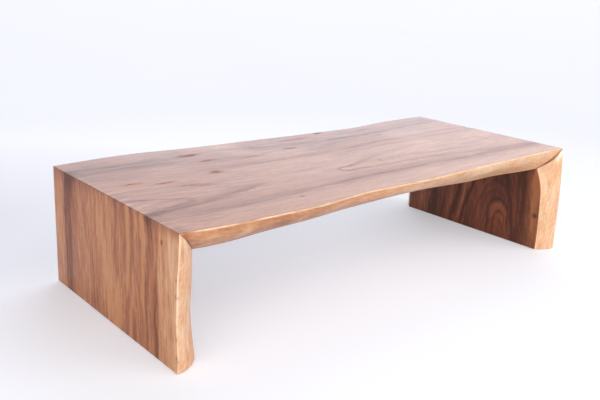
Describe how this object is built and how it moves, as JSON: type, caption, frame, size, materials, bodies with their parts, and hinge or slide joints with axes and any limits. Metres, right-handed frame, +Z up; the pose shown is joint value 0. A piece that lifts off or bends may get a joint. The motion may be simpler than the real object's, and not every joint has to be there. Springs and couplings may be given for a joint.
{
  "type": "coffee table",
  "caption": "Low waterfall coffee table of thick live-edge hardwood, its top mitred down into slab legs at both ends.",
  "frame": {"origin": "on the floor, under the middle of the table's bounding box", "axes": "+X along the table from the left leg slab to the right one, +Y from the front live edge to the back one, +Z up"},
  "size_m": [1.7, 0.8249, 0.4],
  "materials": {
    "slab_wood": "satin lacquer over live-edge hardwood, dark heartwood bands and pale sapwood edges",
    "tenon_wood": "sawn, glued",
    "nylon": "dark moulded nylon"
  },
  "bodies": {
    "root": {"top_slab": "slab_wood", "left_leg_slab": "slab_wood", "right_leg_slab": "slab_wood", "left_mitre_tenon_1": "tenon_wood", "left_mitre_tenon_2": "tenon_wood", "left_mitre_tenon_3": "tenon_wood", "left_mitre_tenon_4": "tenon_wood", "left_mitre_tenon_5": "tenon_wood", "left_mitre_tenon_6": "tenon_wood", "right_mitre_tenon_1": "tenon_wood", "right_mitre_tenon_2": "tenon_wood", "right_mitre_tenon_3": "tenon_wood", "right_mitre_tenon_4": "tenon_wood", "right_mitre_tenon_5": "tenon_wood", "right_mitre_tenon_6": "tenon_wood", "left_glide_front": "nylon", "left_glide_back": "nylon", "right_glide_front": "nylon", "right_glide_back": "nylon"}
  },
  "joints": []
}
